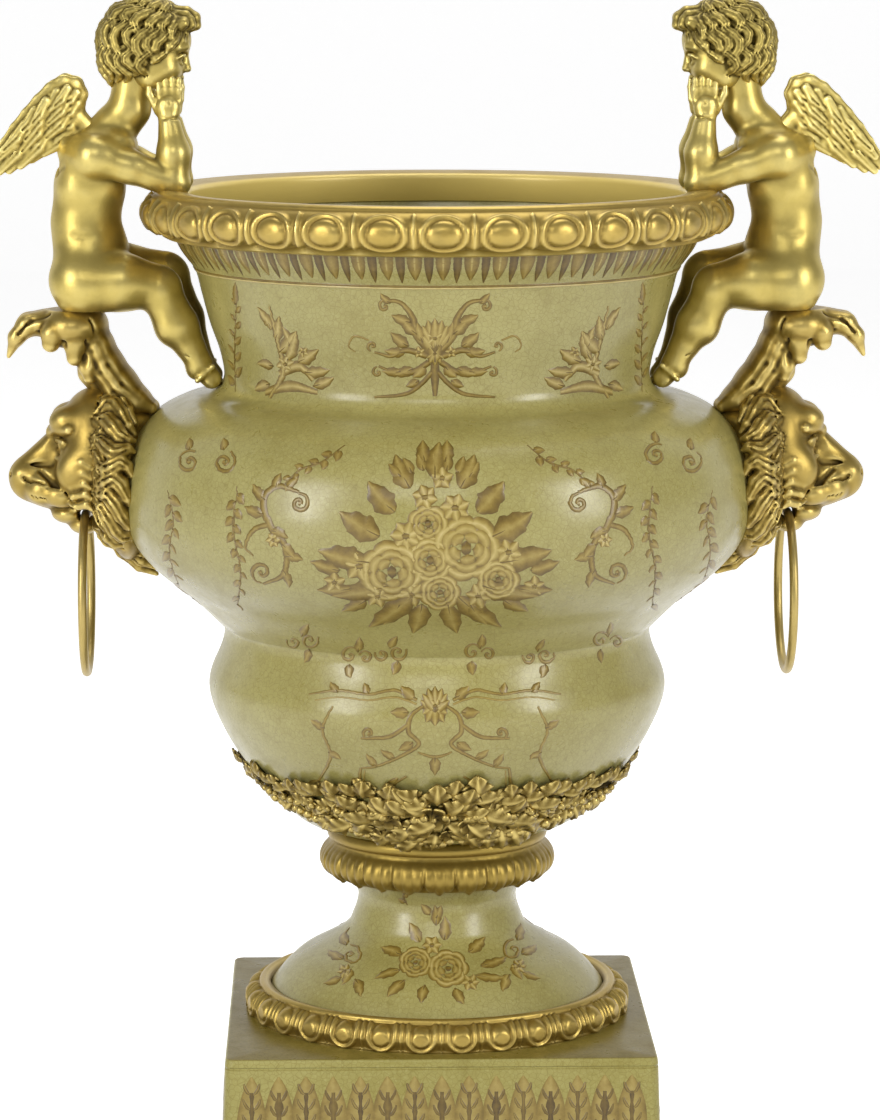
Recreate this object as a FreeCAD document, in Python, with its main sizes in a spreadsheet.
# Porcelain flower pot with gilt bronze mounts, in millimetres.
# It stands on a square plinth with +Z up. The front looks towards -Y and the two handles lie along X.
import FreeCAD
import Part
import Sketcher
import math
import os
import re

# Driving sizes
SIZES = [
    ("felt_thickness", 2.0),
    ("felt_radius", 11.0),
    ("felt_inset", 17.0),
    # plinth
    ("plinth_margin", 9.6),
    ("plinth_batter", 2.5),
    ("plinth_height", 70.0),
    ("plinth_wall", 8.0),
    ("plinth_top_wall", 9.0),
    ("plinth_corner_block", 40.0),
    ("plinth_corner_radius", 6.0),
    ("plinth_edge_chamfer", 1.6),
    # tie rod and what clamps it
    ("rod_radius", 4.0),
    ("rod_bore_radius", 5.0),
    ("rod_end", 4.0),
    ("nut_circumradius", 7.5),
    ("nut_height", 6.5),
    ("clamp_plate_radius", 26.0),
    ("clamp_plate_thickness", 4.0),
    ("seal_radius", 22.0),
    ("seal_thickness", 3.0),
    ("upper_washer_radius", 19.0),
    ("upper_washer_thickness", 2.0),
    # foot ring
    ("foot_ring_radius", 116.4),
    ("foot_ring_height", 18.0),
    ("foot_ring_shelf", 5.0),
    ("foot_ring_band", 15.4),
    ("foot_ring_opening_radius", 84.0),
    # pedestal foot
    ("seat_clearance", 0.4),
    ("pedestal_height", 78.0),
    ("pedestal_neck_radius", 47.6),
    ("pedestal_wall", 8.0),
    # stem collar
    ("collar_radius", 70.9),
    ("collar_height", 26.0),
    ("collar_lip_height", 4.5),
    ("collar_lip_width", 3.6),
    ("collar_floor", 6.0),
    ("collar_boss_radius", 14.0),
    ("collar_rib_width", 9.0),
    # porcelain bowl
    ("bowl_height", 379.0),
    ("bowl_base_radius", 62.0),
    ("bulb_radius", 188.9),
    ("bowl_wall", 8.0),
    ("bowl_floor", 12.0),
    # garland under the lower bulb
    ("garland_thickness", 4.5),
    ("garland_rise", 41.0),
    ("garland_dip", 9.0),
    # rim band
    ("rim_overhang", 19.57),
    ("rim_skirt_wall", 1.4),
    ("rim_top_wall", 10.0),
    ("rim_skirt_depth", 9.0),
    ("rim_apron_depth", 19.0),
    ("rim_clearance", 0.4),
    # ring handles
    ("ring_radius", 47.8),
    ("ring_wire_radius", 2.7),
    ("ring_clearance", 0.3),
    ("ring_pivot_out", 21.1),
    ("ring_pivot_drop", 10.4),
    ("mouth_reach", 30.0),
    # lion masks and their bolts
    ("mask_height", 107.0),
    ("mask_bolt_radius", 3.0),
    ("mask_bolt_depth", 12.0),
    ("mask_bolt_end", 2.5),
    ("mask_washer_radius", 10.0),
    ("mask_washer_thickness", 2.0),
    ("mask_seat_relief", 0.3),
    ("mask_nut_radius", 5.5),
    ("mask_nut_height", 5.0),
    # leaf brackets
    ("bracket_arm_width", 24.0),
    ("bracket_strap_width", 14.0),
    ("bracket_leaf_width", 38.0),
    ("bracket_leaf_thickness", 6.0),
    ("seat_beyond_rim", 36.0),
    ("seat_below_rim", 72.0),
    ("seat_screw_radius", 1.75),
    ("seat_screw_head_radius", 2.9),
    ("seat_screw_head", 1.8),
    ("seat_screw_depth", 7.0),
    ("seat_screw_side", 15.6),
    # cherubs
    ("cherub_height", 185.0),
    ("elbow_side", 20.0),
    ("elbow_radius", 9.5),
    ("elbow_sink", 1.0),
    ("elbow_pin_radius", 1.5),
    ("elbow_pin_depth", 5.0),
    ("foot_side", 12.0),
    ("foot_radius", 6.5),
    ("foot_sink", 0.8),
    ("foot_lift", 3.2),
    # wings
    ("wing_length", 60.0),
    ("wing_thickness", 5.0),
    ("wing_side", 9.0),
    ("wing_spread", 22.0),
    ("wing_peg_radius", 2.0),
    ("wing_peg_depth", 9.0),
]

doc = FreeCAD.newDocument("flower_pot")
sheet = doc.addObject("Spreadsheet::Sheet", "sizes")
for row, (name, size) in enumerate(SIZES, start=1):
    sheet.set(f"A{row}", name)
    sheet.set(f"B{row}", str(size))
    sheet.setAlias(f"B{row}", name)
doc.recompute()


def bound(formula):
    """The formula with each of its sizes read from the sheet."""
    return re.sub(r"\b(?!atan\b|sqrt\b)[a-z]\w*", r"sizes.\g<0>", formula)


probe = doc.addObject("App::FeaturePython", "probe")


def amount(formula):
    """The number that a formula gives."""
    return float(probe.evalExpression(bound(formula)))


# Levels, from the floor up
PLINTH_TOP = "(felt_thickness + plinth_height)"
PEDESTAL_SEAT = f"({PLINTH_TOP} + foot_ring_shelf)"
PEDESTAL_TOP = f"({PEDESTAL_SEAT} + pedestal_height)"
BOWL_SEAT = f"({PEDESTAL_TOP} + collar_height)"
BOWL_TOP = f"({BOWL_SEAT} + bowl_height)"
RIM_TOP = f"({BOWL_TOP} + rim_top_wall)"

nodes = []


def keep(item, label):
    """Marks an object as a finished sub-part under the name of its file."""
    item.Label = label
    nodes.append(item)
    return item


def plane_of(body, role):
    """Origin plane of a body."""
    return next(f for f in body.Origin.OriginFeatures if f.Role == role)


def sketch_on(body, name, role):
    """Empty sketch on an origin plane of its own body."""
    sketch = body.newObject("Sketcher::SketchObject", name)
    sketch.AttachmentSupport = [(plane_of(body, role), "")]
    sketch.MapMode = "FlatFace"
    return sketch


def pin_point(sketch, geometry, end, formulas):
    """Ties one point of a sketch to two formulas."""
    for kind, formula in zip(("DistanceX", "DistanceY"), formulas):
        index = sketch.addConstraint(Sketcher.Constraint(kind, -1, 1, geometry, end, amount(formula)))
        sketch.setExpression(f"Constraints[{index}]", bound(formula))


def outline(sketch, corners):
    """Closed outline through corners. A corner is two formulas, and two more give a point
    that the arc arriving there passes through."""
    spots = [FreeCAD.Vector(amount(c[0]), amount(c[1]), 0) for c in corners]
    for k, corner in enumerate(corners):
        start = spots[k - 1]
        stop = spots[k]
        if len(corner) == 4:
            through = FreeCAD.Vector(amount(corner[2]), amount(corner[3]), 0)
            centre = Part.Arc(start, through, stop).toShape().Curve.Center
            forward = (through - start).cross(stop - through).z > 0
            ends = [start, stop] if forward else [stop, start]
            angles = [math.atan2(end.y - centre.y, end.x - centre.x) for end in ends]
            circle = Part.Circle(centre, FreeCAD.Vector(0, 0, 1), start.distanceToPoint(centre))
            edge = sketch.addGeometry(Part.ArcOfCircle(circle, *angles))
            first, last = (1, 2) if forward else (2, 1)
            point = sketch.addGeometry(Part.Point(through), True)
            pin_point(sketch, point, 1, corner[2:])
            sketch.addConstraint(Sketcher.Constraint("PointOnObject", point, 1, edge))
        else:
            edge = sketch.addGeometry(Part.LineSegment(start, stop))
            first, last = 1, 2
        if k > 0:
            sketch.addConstraint(Sketcher.Constraint("Coincident", previous[0], previous[1], edge, first))
        else:
            opening = (edge, first)
        pin_point(sketch, edge, last, corner[:2])
        previous = (edge, last)
    sketch.addConstraint(Sketcher.Constraint("Coincident", previous[0], previous[1], *opening))


def turned(name, corners):
    """Body turned about Z from an outline of radii and heights."""
    body = doc.addObject("PartDesign::Body", name)
    sketch = sketch_on(body, f"{name}_outline", "XZ_Plane")
    outline(sketch, corners)
    turn = body.newObject("PartDesign::Revolution", f"{name}_turn")
    turn.Profile = sketch
    turn.ReferenceAxis = (sketch, ["V_Axis"])
    turn.Angle = 360
    return body


def rod(name, radius, length, base, direction=None):
    """Cylinder from a base point of three formulas, upright or along a direction."""
    item = doc.addObject("Part::Cylinder", name)
    item.setExpression("Radius", bound(radius))
    item.setExpression("Height", bound(length))
    if direction:
        item.Placement.Rotation = FreeCAD.Rotation(FreeCAD.Vector(0, 0, 1), direction)
    for axis, formula in zip("xyz", base):
        item.setExpression(f".Placement.Base.{axis}", bound(formula))
    return item


def hexagon(name, circumradius, height, base, direction=None):
    """Six-sided prism from a base point of three formulas."""
    item = doc.addObject("Part::Prism", name)
    item.Polygon = 6
    item.setExpression("Circumradius", bound(circumradius))
    item.setExpression("Height", bound(height))
    if direction:
        item.Placement.Rotation = FreeCAD.Rotation(FreeCAD.Vector(0, 0, 1), direction)
    for axis, formula in zip("xyz", base):
        item.setExpression(f".Placement.Base.{axis}", bound(formula))
    return item


def cut(name, base, tool):
    """Base with the tool's shape taken out."""
    item = doc.addObject("Part::Cut", name)
    item.Base = base
    item.Tool = tool
    return item


def group(name, members):
    """Separate solids kept together."""
    item = doc.addObject("Part::Compound", name)
    item.Links = members
    return item


def mirrored(name, source):
    """The same piece on the other side of the pot."""
    item = doc.addObject("Part::Mirroring", name)
    item.Source = source
    item.Base = FreeCAD.Vector(0, 0, 0)
    item.Normal = FreeCAD.Vector(1, 0, 0)
    return item


def both_sides(name, members):
    """A group with the mirror image of each member."""
    images = [mirrored(f"{member.Name}_image", member) for member in members]
    return keep(group(name, members + images), name)


def solid_feature(name, shape):
    """Sub-part with a shape that is built from Part's own functions."""
    item = doc.addObject("Part::Feature", name)
    item.Shape = shape
    return item


# Felt pads
PLINTH_HALF = "(foot_ring_radius + plinth_margin)"
felt_place = f"({PLINTH_HALF} + plinth_batter - felt_inset)"
felt_pads = []
for x_sign in ("", "-"):
    for y_sign in ("", "-"):
        spot = (x_sign + felt_place, y_sign + felt_place, "0")
        felt_pads.append(rod("felt_pad", "felt_radius", "felt_thickness", spot))
keep(group("base_felt_pads", felt_pads), "base_felt")

# Plinth
plinth = keep(doc.addObject("PartDesign::Body", "plinth_body"), "plinth")
plinth_foot = f"({PLINTH_HALF} + plinth_batter)"
square = sketch_on(plinth, "plinth_square", "XY_Plane")
square.setExpression(".AttachmentOffset.Base.z", bound("felt_thickness"))
outline(square, [
    (f"-{plinth_foot}", f"-{plinth_foot}"),
    (plinth_foot, f"-{plinth_foot}"),
    (plinth_foot, plinth_foot),
    (f"-{plinth_foot}", plinth_foot),
])
block = plinth.newObject("PartDesign::Pad", "plinth_block")
block.Profile = square
block.setExpression("Length", bound("plinth_height"))
block.setExpression("TaperAngle", bound("-atan(plinth_batter / plinth_height)"))
doc.recompute()
upright_edges = []
for number, edge in enumerate(block.Shape.Edges, start=1):
    rise = abs(edge.Vertexes[0].Z - edge.Vertexes[-1].Z)
    if rise > amount("plinth_height / 2"):
        upright_edges.append(f"Edge{number}")
corner_round = plinth.newObject("PartDesign::Fillet", "plinth_corners")
corner_round.Base = (block, upright_edges)
corner_round.setExpression("Radius", bound("plinth_corner_radius"))
doc.recompute()
top_face = max(range(len(corner_round.Shape.Faces)), key=lambda k: corner_round.Shape.Faces[k].CenterOfMass.z)
top_edge = plinth.newObject("PartDesign::Chamfer", "plinth_top_edge")
top_edge.Base = (corner_round, [f"Face{top_face + 1}"])
top_edge.setExpression("Size", bound("plinth_edge_chamfer"))
doc.recompute()
inside = f"({PLINTH_HALF} - plinth_wall)"
block_edge = f"({inside} - plinth_corner_block)"
hollow_outline = sketch_on(plinth, "plinth_hollow_outline", "XY_Plane")
hollow_outline.setExpression(".AttachmentOffset.Base.z", bound("felt_thickness"))
outline(hollow_outline, [
    (inside, f"-{block_edge}"),
    (inside, block_edge),
    (block_edge, inside),
    (f"-{block_edge}", inside),
    (f"-{inside}", block_edge),
    (f"-{inside}", f"-{block_edge}"),
    (f"-{block_edge}", f"-{inside}"),
    (block_edge, f"-{inside}"),
])
hollow = plinth.newObject("PartDesign::Pocket", "plinth_hollow")
hollow.Profile = hollow_outline
hollow.setExpression("Length", bound("plinth_height - plinth_top_wall"))
hollow.Reversed = True
doc.recompute()
plinth_bore_outline = sketch_on(plinth, "plinth_bore_outline", "XY_Plane")
plinth_bore_outline.addGeometry(
    Part.Circle(FreeCAD.Vector(0, 0, 0), FreeCAD.Vector(0, 0, 1), amount("rod_bore_radius")))
plinth_bore_outline.addConstraint(Sketcher.Constraint("Coincident", 0, 3, -1, 1))
plinth_bore_outline.addConstraint(Sketcher.Constraint("Radius", 0, amount("rod_bore_radius")))
plinth_bore_outline.setExpression("Constraints[1]", bound("rod_bore_radius"))
plinth_bore = plinth.newObject("PartDesign::Pocket", "plinth_bore")
plinth_bore.Profile = plinth_bore_outline
plinth_bore.Type = "ThroughAll"
plinth_bore.Midplane = True
doc.recompute()

# Foot ring: a shelf that carries the pedestal foot, and a rounded band around it
foot_band_inner = "(foot_ring_radius - foot_ring_band)"
FOOT_BAND_SHARES = (0.93, 0.22, 0.62)
keep(turned("foot_ring", [
    ("foot_ring_opening_radius", PLINTH_TOP),
    (f"foot_ring_radius * {FOOT_BAND_SHARES[0]} + foot_ring_band / 4", PLINTH_TOP),
    (f"foot_ring_radius * {FOOT_BAND_SHARES[0]} + foot_ring_band / 4",
     f"{PLINTH_TOP} + foot_ring_height * {FOOT_BAND_SHARES[1]}"),
    (f"{foot_band_inner} + foot_ring_band / 3", f"{PLINTH_TOP} + foot_ring_height",
     "foot_ring_radius", f"{PLINTH_TOP} + foot_ring_height * {FOOT_BAND_SHARES[2]}"),
    (foot_band_inner, f"{PLINTH_TOP} + foot_ring_height"),
    (foot_band_inner, PEDESTAL_SEAT),
    ("foot_ring_opening_radius", PEDESTAL_SEAT),
]), "foot_ring")

# Pedestal foot: each row gives an outline point as shares of the foot's radius over the neck and of its
# height, then how the wall lies there, inwards and downwards. Rows marked 1 are passed by an arc.
pedestal_radius = f"({foot_band_inner} - seat_clearance)"
pedestal_flare = f"({pedestal_radius} - pedestal_neck_radius)"
PEDESTAL_OUTLINE_SHARES = [
    (1.0, 0.0, 1.0, 0.0, 0),
    (1.0, 0.09, 1.0, 0.1, 0),
    (0.86, 0.265, 0.8, 0.6, 1),
    (0.57, 0.425, 0.45, 0.9, 0),
    (0.17, 0.585, 0.6, 0.8, 1),
    (0.015, 0.775, 1.0, 0.0, 0),
    (0.0, 0.87, 1.0, 0.3, 1),
    (0.055, 0.95, 1.0, 1.0, 0),
]


def walled(rows, radius_of, height_of, wall):
    """Outer corners of a turned wall going up, and its inner corners going down."""
    outer = []
    inner = []
    passed = None
    for radius_share, height_share, inward_share, down_share, is_passed in rows:
        point = (radius_of(radius_share), height_of(height_share))
        deep = (f"({point[0]} - {wall} * {inward_share})", f"({point[1]} - {wall} * {down_share})")
        if is_passed:
            passed = (point, deep)
            continue
        outer.append(point + passed[0] if passed else point)
        inner.append((deep, passed[1] if passed else ()))
        passed = None
    inner.reverse()
    inner_corners = [inner[0][0]]
    for (here, arc_before), (after, _) in zip(inner, inner[1:]):
        inner_corners.append(after + arc_before)
    return outer, inner_corners


def pedestal_radius_at(share):
    """Radius of the pedestal's outline."""
    return f"(pedestal_neck_radius + {pedestal_flare} * {share})"


def pedestal_height_at(share):
    """Height of the pedestal's outline."""
    return f"({PEDESTAL_SEAT} + pedestal_height * {share})"


pedestal_outer, pedestal_inner = walled(
    PEDESTAL_OUTLINE_SHARES, pedestal_radius_at, pedestal_height_at, "pedestal_wall")
keep(turned("pedestal_foot", pedestal_outer + [
    (pedestal_radius_at(PEDESTAL_OUTLINE_SHARES[-1][0]), PEDESTAL_TOP),
    ("rod_bore_radius", PEDESTAL_TOP),
    ("rod_bore_radius", pedestal_inner[0][1]),
] + pedestal_inner), "pedestal_foot")

# Stem collar: a cup under the bowl, with a boss for the rod and a rib under the bowl's edge
collar_lip_inner = "(bowl_base_radius + seat_clearance)"
collar_lip_outer = f"({collar_lip_inner} + collar_lip_width)"
COLLAR_SKIRT_SHARES = (0.86, 0.48, 0.81, 0.985)
keep(turned("stem_collar", [
    ("rod_bore_radius", PEDESTAL_TOP),
    (f"collar_radius * {COLLAR_SKIRT_SHARES[0]}", PEDESTAL_TOP),
    (f"collar_radius * {COLLAR_SKIRT_SHARES[3]}",
     f"{PEDESTAL_TOP} + collar_height * {COLLAR_SKIRT_SHARES[2]}",
     "collar_radius", f"{PEDESTAL_TOP} + collar_height * {COLLAR_SKIRT_SHARES[1]}"),
    (collar_lip_outer, BOWL_SEAT),
    (collar_lip_outer, f"{BOWL_SEAT} + collar_lip_height"),
    (collar_lip_inner, f"{BOWL_SEAT} + collar_lip_height"),
    (collar_lip_inner, BOWL_SEAT),
    ("bowl_base_radius - collar_rib_width", BOWL_SEAT),
    ("bowl_base_radius - collar_rib_width", f"{PEDESTAL_TOP} + collar_floor"),
    ("collar_boss_radius", f"{PEDESTAL_TOP} + collar_floor"),
    ("collar_boss_radius", BOWL_SEAT),
    ("rod_bore_radius", BOWL_SEAT),
]), "stem_collar")

# Bowl, thrown in six sections that are luted together: a dish with the floor, the lower bulb's cup,
# the flare above the waist, the upper bulb's belly, its shoulder, and the neck.
# Each row gives an outline point as shares of the upper bulb's radius and of the bowl's height, then
# how the wall lies there, inwards and downwards. Rows marked 1 are passed by an arc.
BOWL_OUTLINE_SHARES = [
    (0.545, 0.074, 0.75, -0.9, 1),
    (0.668, 0.163, 0.9, -0.4, 0),
    (0.726, 0.242, 1.0, 0.0, 1),
    (0.673, 0.324, 1.0, 0.0, 0),
    (0.678, 0.338, 1.0, -0.45, 0),
    (0.814, 0.404, 0.7, -0.72, 0),
    (0.936, 0.462, 0.8, -0.55, 1),
    (1.0, 0.54, 1.0, 0.0, 0),
    (0.971, 0.623, 0.93, 0.4, 1),
    (0.882, 0.686, 0.62, 0.85, 0),
    (0.808, 0.7, 0.3, 1.0, 1),
    (0.736, 0.705, 0.6, 1.05, 0),
    (0.69, 0.711, 0.85, 0.75, 1),
    (0.672, 0.727, 1.0, 0.3, 0),
    (0.712, 0.817, 1.0, 0.0, 1),
    (0.755, 0.896, 1.0, 0.0, 0),
    (0.782, 0.923, 0.97, -0.15, 1),
    (0.817, 0.942, 0.97, -0.2, 0),
    (0.826, 0.958, 0.9, 0.0, 0),
]
DISH_ROW = 1
WAIST_ROW = 4
FLARE_ROW = 5
SHOULDER_ROW = 9
NECK_ROW = 13
MOUTH_ROW = 18
BULB_SHARES = BOWL_OUTLINE_SHARES[7]
SHOULDER_SHARES = BOWL_OUTLINE_SHARES[SHOULDER_ROW]
NECK_FOOT_SHARES = BOWL_OUTLINE_SHARES[11]
MOUTH_SHARES = BOWL_OUTLINE_SHARES[MOUTH_ROW]
bowl_mouth_radius = f"(bulb_radius * {MOUTH_SHARES[0]})"
bowl_inner_mouth = f"({bowl_mouth_radius} - bowl_wall * {MOUTH_SHARES[2]})"
BULB_LEVEL = f"({BOWL_SEAT} + bowl_height * {BULB_SHARES[1]})"
bowl_floor_level = f"({BOWL_SEAT} + bowl_floor)"
bowl_base_top = f"({BOWL_SEAT} + collar_lip_height + seat_clearance)"


def bowl_radius_at(share):
    """Radius of the bowl's outline."""
    return f"(bulb_radius * {share})"


def bowl_height_at(share):
    """Height of the bowl's outline."""
    return f"({BOWL_SEAT} + bowl_height * {share})"


def bowl_section(first, last):
    """Corners of the wall's outer and inner side between two rows of the outline."""
    return walled(BOWL_OUTLINE_SHARES[first:last + 1], bowl_radius_at, bowl_height_at, "bowl_wall")


dish_outer, dish_inner = bowl_section(0, DISH_ROW)
neck_outer, neck_inner = bowl_section(NECK_ROW, MOUTH_ROW)
bottom_arc = dish_outer[0][2:]
inner_bottom_arc = (
    f"({bottom_arc[0]} - bowl_wall * {BOWL_OUTLINE_SHARES[0][2]})",
    f"({bottom_arc[1]} - bowl_wall * {BOWL_OUTLINE_SHARES[0][3]})")
keep(turned("bowl_dish", [
    ("rod_bore_radius", BOWL_SEAT),
    ("bowl_base_radius", BOWL_SEAT),
    ("bowl_base_radius", bowl_base_top),
] + dish_outer + dish_inner + [
    ("bowl_base_radius", bowl_floor_level) + inner_bottom_arc,
    ("rod_bore_radius", bowl_floor_level),
]), "bowl_dish")
bowl_rings = {}
for label, first_row, last_row in (
        ("bowl_cup", DISH_ROW, WAIST_ROW),
        ("bowl_flare", WAIST_ROW, FLARE_ROW),
        ("bowl_belly", FLARE_ROW, SHOULDER_ROW),
        ("bowl_shoulder", SHOULDER_ROW, NECK_ROW)):
    ring_outer, ring_inner = bowl_section(first_row, last_row)
    bowl_rings[label] = keep(turned(label, ring_outer + ring_inner), label)
belly = bowl_rings["bowl_belly"]
keep(turned("bowl_neck", neck_outer + [
    (bowl_mouth_radius, BOWL_TOP),
    (bowl_inner_mouth, BOWL_TOP),
] + neck_inner), "bowl_neck")
doc.recompute()

# Holes through the bowl's wall for the mask bolts, with flat seats inside for their washers
MASK_SEAT = "(bulb_radius - bowl_wall + mask_seat_relief)"


def side_circle(name, radius):
    """Circle at the bulb's level on the plane that the handles face."""
    sketch = sketch_on(belly, name, "YZ_Plane")
    centre = FreeCAD.Vector(0, amount(BULB_LEVEL), 0)
    sketch.addGeometry(Part.Circle(centre, FreeCAD.Vector(0, 0, 1), amount(radius)))
    sketch.addConstraint(Sketcher.Constraint("PointOnObject", 0, 3, -2))
    level = sketch.addConstraint(Sketcher.Constraint("DistanceY", -1, 1, 0, 3, amount(BULB_LEVEL)))
    sketch.setExpression(f"Constraints[{level}]", bound(BULB_LEVEL))
    size = sketch.addConstraint(Sketcher.Constraint("Radius", 0, amount(radius)))
    sketch.setExpression(f"Constraints[{size}]", bound(radius))
    return sketch


bolt_holes = belly.newObject("PartDesign::Pocket", "mask_bolt_holes")
bolt_holes.Profile = side_circle("mask_bolt_outline", "mask_bolt_radius")
bolt_holes.Type = "ThroughAll"
bolt_holes.Midplane = True
doc.recompute()
bolt_seats = belly.newObject("PartDesign::Pocket", "mask_bolt_seats")
bolt_seats.Profile = side_circle("mask_seat_outline", "mask_washer_radius + seat_clearance")
bolt_seats.Midplane = True
bolt_seats.setExpression("Length", bound(f"2 * {MASK_SEAT}"))
doc.recompute()

# Tie rod, its nuts and washers
clamp_level = f"({PLINTH_TOP} - plinth_top_wall - clamp_plate_thickness)"
lower_nut_level = f"({clamp_level} - nut_height)"
seal_level = bowl_floor_level
washer_level = f"({seal_level} + seal_thickness)"
upper_nut_level = f"({washer_level} + upper_washer_thickness)"
rod_bottom = f"({lower_nut_level} - rod_end)"
rod_top = f"({upper_nut_level} + nut_height + rod_end)"


def drilled(label, blank, level, height):
    """Blank with the tie rod's hole."""
    hole = rod(f"{label}_hole", "rod_radius", height, ("0", "0", level))
    return keep(cut(f"{label}_cut", blank, hole), label)


keep(rod("tie_rod", "rod_radius", f"{rod_top} - {rod_bottom}", ("0", "0", rod_bottom)), "tie_rod")
for label, radius, height, level in (
        ("clamp_plate", "clamp_plate_radius", "clamp_plate_thickness", clamp_level),
        ("seal_washer", "seal_radius", "seal_thickness", seal_level),
        ("upper_washer", "upper_washer_radius", "upper_washer_thickness", washer_level)):
    drilled(label, rod(f"{label}_blank", radius, height, ("0", "0", level)), level, height)
for label, level in (("lower_nut", lower_nut_level), ("upper_nut", upper_nut_level)):
    blank = hexagon(f"{label}_blank", "nut_circumradius", "nut_height", ("0", "0", level))
    drilled(label, blank, level, "nut_height")

# Rim band: an upside-down channel over the bowl's edge, rounded outside and turned down inside
skirt_outer = f"({bowl_inner_mouth} - rim_clearance)"
apron_inner = f"({bowl_mouth_radius} + rim_clearance)"
RIM_OUTLINE_SHARES = {"apron": 0.18, "belly": 0.42, "brow": 0.72, "lip": 0.45}
RIM_RADIUS = f"({apron_inner} + rim_overhang)"
RIM_OPENING = f"({skirt_outer} - rim_skirt_wall)"
rim_depth = "(rim_top_wall + rim_apron_depth)"
rim_blank = turned("rim_blank", [
    (skirt_outer, f"{BOWL_TOP} - rim_skirt_depth"),
    (skirt_outer, BOWL_TOP),
    (apron_inner, BOWL_TOP),
    (apron_inner, f"{BOWL_TOP} - rim_apron_depth"),
    (f"{apron_inner} + rim_overhang * {RIM_OUTLINE_SHARES['apron']}", f"{BOWL_TOP} - rim_apron_depth"),
    (f"{apron_inner} + rim_overhang * {RIM_OUTLINE_SHARES['lip']}", RIM_TOP,
     RIM_RADIUS, f"{RIM_TOP} - {rim_depth} * {RIM_OUTLINE_SHARES['belly']}"),
    (f"{RIM_OPENING} + rim_clearance", RIM_TOP),
    (RIM_OPENING, f"{BOWL_TOP} - rim_skirt_depth",
     f"{RIM_OPENING} - rim_clearance / 2", f"{BOWL_TOP} - rim_clearance"),
])

# Pins that stand in the rim band and go up into the cherubs' elbows
ELBOW = (
    f"({RIM_OPENING} + {RIM_RADIUS}) / 2 - elbow_radius",
    "elbow_side",
    f"({RIM_TOP} + elbow_radius - elbow_sink)")
ELBOW_PIN_BASE = (ELBOW[0], ELBOW[1], f"({RIM_TOP} - elbow_pin_depth)")
pins = []
for sign in ("", "-"):
    pins.append(rod("elbow_pin", "elbow_pin_radius", "elbow_pin_depth * 2",
                    (ELBOW_PIN_BASE[0], sign + ELBOW_PIN_BASE[1], ELBOW_PIN_BASE[2])))
elbow_pins = both_sides("elbow_pins", pins)
rim_band = keep(cut("rim_cut", rim_blank, elbow_pins), "rim_band")
doc.recompute()


def solid_turned(corners):
    """Solid of revolution about Z from an outline like that of a sketch."""
    spots = [FreeCAD.Vector(amount(c[0]), 0, amount(c[1])) for c in corners]
    edges = []
    for k, corner in enumerate(corners):
        if len(corner) == 4:
            through = FreeCAD.Vector(amount(corner[2]), 0, amount(corner[3]))
            edges.append(Part.Arc(spots[k - 1], through, spots[k]).toShape())
        else:
            edges.append(Part.makeLine(spots[k - 1], spots[k]))
    face = Part.Face(Part.Wire(edges))
    return face.revolve(FreeCAD.Vector(0, 0, 0), FreeCAD.Vector(0, 0, 1), 360)


# What the handles lie against: the bowl without its cavity
bowl_envelope = solid_turned([
    ("0", BOWL_SEAT),
    ("bowl_base_radius", BOWL_SEAT),
    ("bowl_base_radius", bowl_base_top),
] + bowl_section(0, MOUTH_ROW)[0] + [
    (bowl_mouth_radius, BOWL_TOP),
    ("0", BOWL_TOP),
])

# Garland: two swags against the bottom of the lower bulb, deep in front and behind and high at the handles
GARLAND_SHARES = {"top": 0.142, "reach": 0.66}


def swag_round(level, rise, reach):
    """Cylinder across the handles whose underside rises from a level at its middle to the reach."""
    radius = (reach ** 2 + rise ** 2) / (2 * rise)
    middle = FreeCAD.Vector(0, -reach, level + radius)
    return Part.makeCylinder(radius, 2 * reach, middle, FreeCAD.Vector(0, 1, 0))


def garland():
    """Swags between the bowl's outside and the same outline set out by their thickness."""
    thickness = amount("garland_thickness")
    low = amount(f"{BOWL_SEAT} + collar_lip_height")
    high = amount(f"{BOWL_SEAT} + bowl_height * {GARLAND_SHARES['top']}")
    reach = amount(f"bulb_radius * {GARLAND_SHARES['reach']}")
    dip = amount("garland_dip")
    grown = bowl_envelope.copy()
    grown.translate(FreeCAD.Vector(0, 0, -thickness))
    scale = FreeCAD.Matrix()
    growth = 1 + thickness / amount("bulb_radius")
    scale.scale(growth, growth, 1)
    grown = grown.transformGeometry(scale)
    slab = Part.makeCylinder(reach, high - low, FreeCAD.Vector(0, 0, low))
    opening = Part.makeCylinder(
        amount(f"{collar_lip_outer} + seat_clearance"), high - low, FreeCAD.Vector(0, 0, low))
    wreath = slab.common(grown).common(swag_round(low, amount("garland_rise"), reach))
    return wreath.cut(swag_round(high - dip, dip, reach)).cut(opening).cut(bowl_envelope)


keep(solid_feature("floral_garland", garland()), "floral_garland")


def ball(centre, radius):
    """Sphere."""
    return Part.makeSphere(radius, centre)


def limb(start, start_radius, stop, stop_radius):
    """Two balls and the cone between them."""
    reach = stop - start
    cone = Part.makeCone(start_radius, stop_radius, reach.Length, start, reach)
    return [ball(start, start_radius), ball(stop, stop_radius), cone]


def scaled_ball(centre, radii):
    """Ball with a radius of its own along each axis."""
    scale = FreeCAD.Matrix()
    scale.scale(*radii)
    shape = Part.makeSphere(1).transformGeometry(scale)
    shape.translate(centre)
    return shape


def joined(solids):
    """One solid from many that overlap."""
    return solids[0].multiFuse(solids[1:]).removeSplitter()


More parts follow.
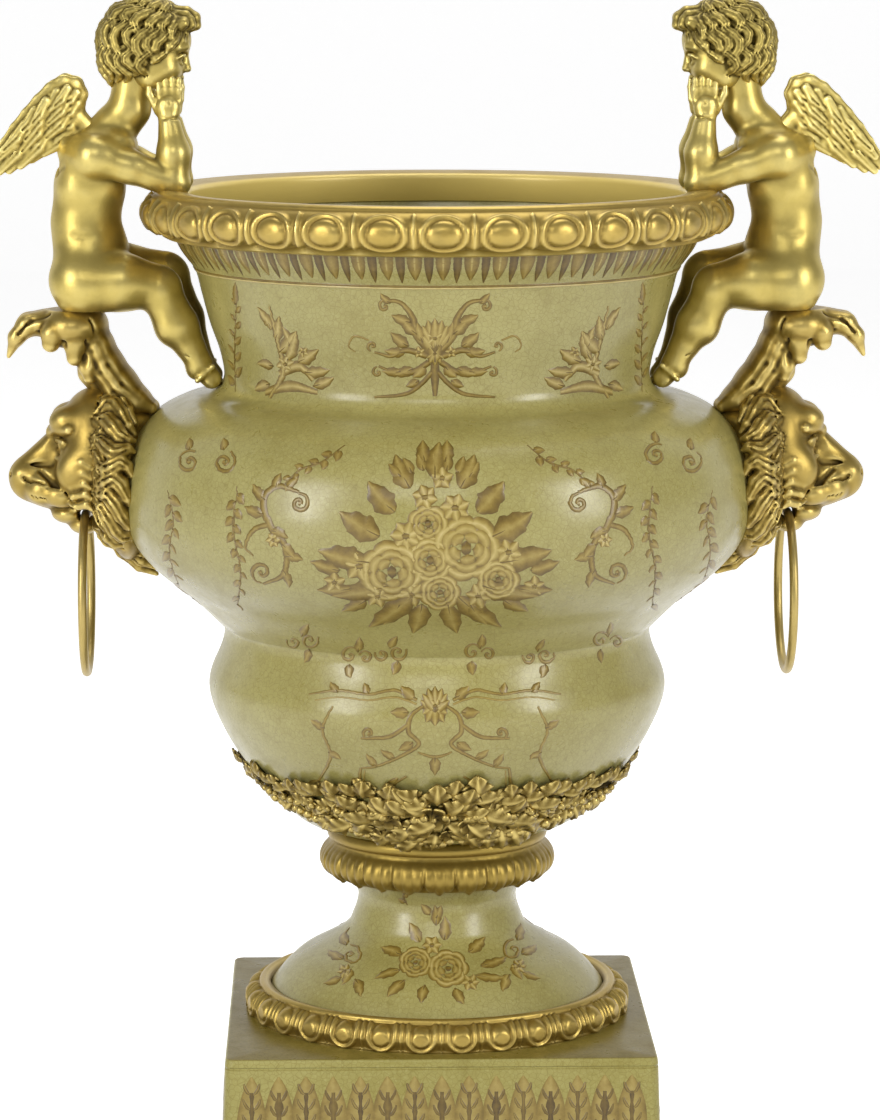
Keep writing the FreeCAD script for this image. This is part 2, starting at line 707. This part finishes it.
# Lion mask: rows are places as shares of the mask's height, outwards from the bulb, to a side and up from
# the bulb's level, with a radius. A row with a side is made on both sides.
MASK_LIMB_SHARES = [
    ((0.15, 0.0, 0.37, 0.2), (0.22, 0.0, 0.14, 0.225)),
    ((0.3, 0.0, 0.12, 0.16), (0.46, 0.0, 0.08, 0.125)),
    ((0.1, 0.0, 0.0, 0.21), (0.06, 0.0, -0.16, 0.15)),
    ((0.08, 0.0, -0.17, 0.068), (0.31, 0.0, -0.155, 0.058)),
]
MANE_SHARES = (-0.02, 0.0, 0.06)
MANE_RADIUS_SHARES = (0.16, 0.4, 0.5)
MASK_BALL_SHARES = [
    (0.31, 0.1, 0.32, 0.095),
    (0.4, 0.055, 0.0, 0.085),
    (0.33, 0.0, -0.1, 0.058),
    (0.18, 0.19, 0.18, 0.085),
    (0.06, 0.0, 0.5, 0.125),
    (0.03, 0.2, 0.47, 0.13),
    (0.01, 0.33, 0.32, 0.13),
    (-0.02, 0.39, 0.13, 0.13),
    (-0.04, 0.37, -0.06, 0.12),
    (-0.08, 0.29, -0.22, 0.11),
    (-0.13, 0.16, -0.33, 0.1),
    (-0.18, 0.0, -0.39, 0.085),
]


def mask_place(shares):
    """Place on the mask from its shares."""
    height = amount("mask_height")
    out, side, up = shares[:3]
    return FreeCAD.Vector(
        amount("bulb_radius") + out * height, side * height, amount(BULB_LEVEL) + up * height)


def flipped(place):
    """The same place at the other side of the handle."""
    return FreeCAD.Vector(place.x, -place.y, place.z)


RING_PIVOT = ("(bulb_radius + ring_pivot_out)", "0", f"({BULB_LEVEL} - ring_pivot_drop)")
ring_pivot = FreeCAD.Vector(*[amount(formula) for formula in RING_PIVOT])


def mouth_bore():
    """Hole through the mouth that leaves the ring's wire its clearance at every swing."""
    reach = amount("mouth_reach")
    inner = amount("ring_radius - ring_wire_radius - ring_clearance")
    drop = amount("ring_radius")
    depth = drop - math.sqrt(inner ** 2 - reach ** 2)
    throat = FreeCAD.Vector(drop - inner, 0, 0)
    near = FreeCAD.Vector(depth, -reach, 0)
    far = FreeCAD.Vector(depth, reach, 0)
    foot = FreeCAD.Vector(0, -reach, 0)
    head = FreeCAD.Vector(0, reach, 0)
    edges = [
        Part.makeLine(foot, near),
        Part.Arc(near, throat, far).toShape(),
        Part.makeLine(far, head),
        Part.makeLine(head, foot),
    ]
    face = Part.Face(Part.Wire(edges))
    bore = face.revolve(FreeCAD.Vector(0, 0, 0), FreeCAD.Vector(0, 1, 0), 360)
    bore.translate(ring_pivot)
    return bore


def mask():
    """Lion's head with its mane against the bulb and a hole through the mouth."""
    height = amount("mask_height")
    solids = [scaled_ball(mask_place(MANE_SHARES), [share * height for share in MANE_RADIUS_SHARES])]
    for start, stop in MASK_LIMB_SHARES:
        solids += limb(mask_place(start), start[3] * height, mask_place(stop), stop[3] * height)
    for shares in MASK_BALL_SHARES:
        place = mask_place(shares)
        solids.append(ball(place, shares[3] * height))
        if shares[1]:
            solids.append(ball(flipped(place), shares[3] * height))
    bolt_room = Part.makeCylinder(
        amount("mask_bolt_radius"), amount("bulb_radius + mask_bolt_depth"),
        FreeCAD.Vector(0, 0, amount(BULB_LEVEL)), FreeCAD.Vector(1, 0, 0))
    return joined(solids).cut(bowl_envelope).cut(mouth_bore()).cut(bolt_room)


right_mask = keep(solid_feature("right_mask", mask()), "right_mask")

# Leaf bracket: outlines seen from the front, as shares of its rise, outwards from the seat's middle and up
# from the bulb's shoulder
BRACKET_FOOT = f"({BOWL_SEAT} + bowl_height * {SHOULDER_SHARES[1]})"
SEAT_LEVEL = f"({RIM_TOP} - seat_below_rim)"
SEAT_OUT = f"({RIM_RADIUS} + seat_beyond_rim)"
BRACKET_RISE = f"({SEAT_LEVEL} - {BRACKET_FOOT})"
BRACKET_ARM_SHARES = [
    (-0.62, -0.3), (-0.05, 0.0), (0.06, 0.45), (0.14, 0.9), (-0.18, 0.9), (-0.3, 0.55), (-0.52, 0.0),
]
BRACKET_STRAP_SHARES = [
    (-0.14, 0.92), (-0.22, 0.72), (-0.58, 0.12), (-0.8, -0.02),
    (-0.95, 0.0), (-0.95, 0.12), (-0.7, 0.3), (-0.28, 0.94),
]
BRACKET_LEAF_SHARES = [
    (-0.28, 0.895), (-0.28, 1.0), (0.24, 0.985), (0.52, 0.86), (0.68, 0.56),
    (0.59, 0.52), (0.43, 0.74), (0.18, 0.88),
]


def seat_place():
    """Middle of the seat."""
    return FreeCAD.Vector(amount(SEAT_OUT), 0, amount(SEAT_LEVEL))


def plate(shares, width):
    """Flat plate across the handle with an outline of shares."""
    seat = seat_place()
    rise = amount(BRACKET_RISE)
    corners = []
    for out, up in shares:
        corners.append(seat + FreeCAD.Vector(out * rise, -width / 2, (up - 1) * rise))
    face = Part.Face(Part.makePolygon(corners + corners[:1]))
    return face.extrude(FreeCAD.Vector(0, width, 0))


SEAT_SCREW_BASE = f"({SEAT_LEVEL} - bracket_leaf_thickness)"


def upright_pin(radius, length, x, y, z):
    """Cylinder standing on a place, for a hole."""
    return Part.makeCylinder(radius, length, FreeCAD.Vector(x, y, z))


def seat_screw_room():
    """What the two seat screws take up."""
    length = amount("bracket_leaf_thickness + seat_screw_depth")
    rooms = []
    for side in (-1, 1):
        place = (amount(SEAT_OUT), side * amount("seat_screw_side"), amount(SEAT_SCREW_BASE))
        rooms.append(upright_pin(amount("seat_screw_radius"), length, *place))
        rooms.append(upright_pin(amount("seat_screw_head_radius"), amount("seat_screw_head"), *place))
    return rooms


def bracket():
    """Arm, rear strap and leaf seat of one bracket."""
    solids = [
        plate(BRACKET_ARM_SHARES, amount("bracket_arm_width")),
        plate(BRACKET_STRAP_SHARES, amount("bracket_strap_width")),
        plate(BRACKET_LEAF_SHARES, amount("bracket_leaf_width")),
    ]
    return joined(solids).cut(bowl_envelope).cut(right_mask.Shape).cut(joined(seat_screw_room()))


right_bracket = keep(solid_feature("right_bracket", bracket()), "right_bracket")

# Cherub: places as shares of its height over the seat, outwards from the seat's middle, to the side and up,
# with a radius
CHERUB_SHARES = {
    "hip": (-0.012, 0.07, 0.113, 0.108),
    "pelvis": (-0.012, 0.0, 0.12, 0.115),
    "belly": (-0.03, 0.0, 0.23, 0.112),
    "chest": (-0.04, 0.0, 0.41, 0.108),
    "shoulder": (-0.04, 0.11, 0.5, 0.072),
    "nape": (-0.08, 0.0, 0.55, 0.07),
    "throat": (-0.13, 0.0, 0.66, 0.058),
    "skull": (-0.205, 0.0, 0.862, 0.138),
    "face": (-0.245, 0.0, 0.8, 0.108),
    "wrist": (-0.29, 0.095, 0.615, 0.038),
    "finger": (-0.3, 0.115, 0.725, 0.03),
    "knee": (-0.265, 0.07, 0.088, 0.068),
    "calf": (-0.31, 0.068, -0.055, 0.066),
    "ankle": (-0.39, 0.065, -0.165, 0.045),
}
LIMBS = [
    ("pelvis", "belly"),
    ("belly", "chest"),
    ("pelvis", "hip"),
    ("chest", "shoulder"),
    ("chest", "nape"),
    ("nape", "throat"),
    ("throat", "skull"),
    ("skull", "face"),
    ("shoulder", "elbow"),
    ("elbow", "wrist"),
    ("wrist", "finger"),
    ("hip", "knee"),
    ("knee", "calf"),
    ("calf", "ankle"),
    ("ankle", "toes"),
]
TOES = (
    f"(bulb_radius * {NECK_FOOT_SHARES[0]} - foot_radius + foot_sink)",
    "foot_side",
    f"({BOWL_SEAT} + bowl_height * {NECK_FOOT_SHARES[1]} + foot_radius + foot_lift)")


def cherub_places():
    """Centres and radii of the cherub's joints by name."""
    height = amount("cherub_height")
    places = {}
    for name, (out, side, up, radius) in CHERUB_SHARES.items():
        centre = seat_place() + FreeCAD.Vector(out * height, side * height, up * height)
        places[name] = (centre, radius * height)
    places["elbow"] = (FreeCAD.Vector(*[amount(formula) for formula in ELBOW]), amount("elbow_radius"))
    places["toes"] = (FreeCAD.Vector(*[amount(formula) for formula in TOES]), amount("foot_radius"))
    return places


# Wings: an outline seen from the front, as shares of the wing's length, outwards and up from its root
WING_ROOT_SHARES = (0.03, 0.5)
WING_OUTLINE_SHARES = [
    (-0.14, -0.06), (-0.12, 0.3), (-0.02, 0.62), (0.14, 0.65), (0.38, 0.42), (0.62, 0.08),
    (0.82, -0.2), (0.78, -0.36), (0.5, -0.28), (0.22, -0.12),
]


def wing(side):
    """One wing, turned out to a side, with the peg that goes into the back."""
    length = amount("wing_length")
    thickness = amount("wing_thickness")
    height = amount("cherub_height")
    root = seat_place() + FreeCAD.Vector(WING_ROOT_SHARES[0] * height, 0, WING_ROOT_SHARES[1] * height)
    corners = []
    for out, up in WING_OUTLINE_SHARES:
        corners.append(root + FreeCAD.Vector(out * length, -thickness / 2, up * length))
    blade = Part.Face(Part.makePolygon(corners + corners[:1])).extrude(FreeCAD.Vector(0, thickness, 0))
    peg_depth = amount("wing_peg_depth")
    peg = Part.makeCylinder(amount("wing_peg_radius"), 2 * peg_depth, root - FreeCAD.Vector(peg_depth, 0, 0),
                            FreeCAD.Vector(1, 0, 0))
    blade.rotate(root, FreeCAD.Vector(0, 0, 1), side * amount("wing_spread"))
    blade.translate(FreeCAD.Vector(0, side * amount("wing_side"), 0))
    peg.translate(FreeCAD.Vector(0, side * amount("wing_side"), 0))
    return blade, peg


def cherub():
    """Seated child with its elbows on the rim and its feet at the foot of the neck."""
    places = cherub_places()
    solids = []
    for first, second in LIMBS:
        (start, start_radius), (stop, stop_radius) = places[first], places[second]
        solids += limb(start, start_radius, stop, stop_radius)
        if start.y or stop.y:
            solids += limb(flipped(start), start_radius, flipped(stop), stop_radius)
    figure = joined(solids)
    for neighbour in (bowl_envelope, rim_band.Shape, right_bracket.Shape):
        figure = figure.cut(neighbour)
    rooms = seat_screw_room()
    pin_length = amount("elbow_pin_depth * 2")
    for side in (-1, 1):
        x, y, z = [amount(formula) for formula in ELBOW_PIN_BASE]
        rooms.append(upright_pin(amount("elbow_pin_radius"), pin_length, x, side * y, z))
        rooms.append(wing(side)[1])
    return figure.cut(joined(rooms))


figure = cherub()
right_cherub = keep(solid_feature("right_cherub", figure), "right_cherub")
right_wings = {}
for name, side in (("right_front_wing", -1), ("right_rear_wing", 1)):
    blade, peg = wing(side)
    right_wings[name] = keep(solid_feature(name, blade.cut(figure).cut(peg).fuse(peg).removeSplitter()), name)

# Ring handle, hanging from the mouth
right_ring = doc.addObject("Part::Torus", "right_ring")
right_ring.setExpression("Radius1", bound("ring_radius"))
right_ring.setExpression("Radius2", bound("ring_wire_radius"))
right_ring.Placement.Rotation = FreeCAD.Rotation(FreeCAD.Vector(0, 1, 0), 90)
right_ring.setExpression(".Placement.Base.x", bound(RING_PIVOT[0]))
right_ring.setExpression(".Placement.Base.z", bound(f"{RING_PIVOT[2]} - ring_radius"))
keep(right_ring, "right_ring")

# The other handle is the mirror image
for item in (right_mask, right_bracket, right_cherub, *right_wings.values(), right_ring):
    label = item.Label.replace("right", "left")
    keep(mirrored(label, item), label)

# Mask bolts with their cushion washers and cap nuts
along_x = FreeCAD.Vector(1, 0, 0)
washer_place = (f"({MASK_SEAT} - mask_washer_thickness)", "0", BULB_LEVEL)
nut_place = (f"({MASK_SEAT} - mask_washer_thickness - mask_nut_height)", "0", BULB_LEVEL)
bolt_start = f"({MASK_SEAT} - mask_washer_thickness - mask_nut_height - mask_bolt_end)"
bolt_length = f"bulb_radius + mask_bolt_depth - {bolt_start}"
both_sides("mask_bolts", [
    rod("mask_bolt", "mask_bolt_radius", bolt_length, (bolt_start, "0", BULB_LEVEL), along_x)])
washer_blank = rod("mask_washer_blank", "mask_washer_radius", "mask_washer_thickness", washer_place, along_x)
washer_hole = rod("mask_washer_hole", "mask_bolt_radius", "mask_washer_thickness", washer_place, along_x)
both_sides("mask_washers", [cut("mask_washer", washer_blank, washer_hole)])
nut_blank = hexagon("mask_nut_blank", "mask_nut_radius", "mask_nut_height", nut_place, along_x)
nut_hole = rod("mask_nut_hole", "mask_bolt_radius", "mask_nut_height", nut_place, along_x)
both_sides("mask_nuts", [cut("mask_nut", nut_blank, nut_hole)])

# Seat screws
seat_screws = []
for sign in ("", "-"):
    screw_place = (SEAT_OUT, f"{sign}seat_screw_side", SEAT_SCREW_BASE)
    shank = rod(
        "seat_screw_shank", "seat_screw_radius", "bracket_leaf_thickness + seat_screw_depth", screw_place)
    head = rod("seat_screw_head_blank", "seat_screw_head_radius", "seat_screw_head", screw_place)
    screw = doc.addObject("Part::Fuse", "seat_screw")
    screw.Base = shank
    screw.Tool = head
    seat_screws.append(screw)
both_sides("seat_screws", seat_screws)

doc.recompute()

# Check every object, then write each sub-part
for item in doc.Objects:
    if "Invalid" in item.State or "Error" in item.State:
        raise RuntimeError(f"{item.Label} doesn't compute")
for item in nodes:
    if item.Shape.isNull() or not item.Shape.isValid():
        raise RuntimeError(f"{item.Label} has no valid shape")
os.makedirs("parts", exist_ok=True)
for item in nodes:
    item.Shape.exportStep(f"parts/{item.Label}.step")
    print(item.Label, len(item.Shape.Solids), [round(v, 1) for v in (
        item.Shape.BoundBox.XMin, item.Shape.BoundBox.XMax, item.Shape.BoundBox.YMin,
        item.Shape.BoundBox.YMax, item.Shape.BoundBox.ZMin, item.Shape.BoundBox.ZMax)])
